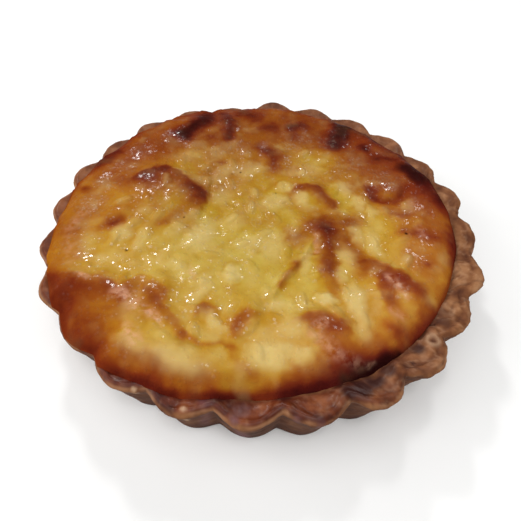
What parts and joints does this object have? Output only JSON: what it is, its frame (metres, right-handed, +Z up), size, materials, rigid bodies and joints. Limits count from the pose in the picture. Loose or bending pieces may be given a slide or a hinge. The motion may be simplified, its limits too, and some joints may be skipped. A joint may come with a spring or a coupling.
{
  "type": "rice tartlet",
  "caption": "Round fluted shortcrust tartlet, filled to the brim with baked rice custard under a browned, blistered skin.",
  "frame": {"origin": "middle of the flat underside, at the middle of the outline seen from above", "axes": "+Z up, out of the filling; -Y towards the side where the filling has shrunk from the lip, which faces the picture's camera; +X to that camera's right"},
  "size_m": [0.1208, 0.1206, 0.0245],
  "materials": {
    "pastry": "baked shortcrust, dry and finely crumbly, pinkish brown, darker on the outside wall",
    "custard": "baked rice custard, yellow with red-brown and nearly black blisters, greasy gloss"
  },
  "bodies": {
    "root": {"pastry_case": "pastry", "rice_filling": "custard"}
  },
  "joints": []
}
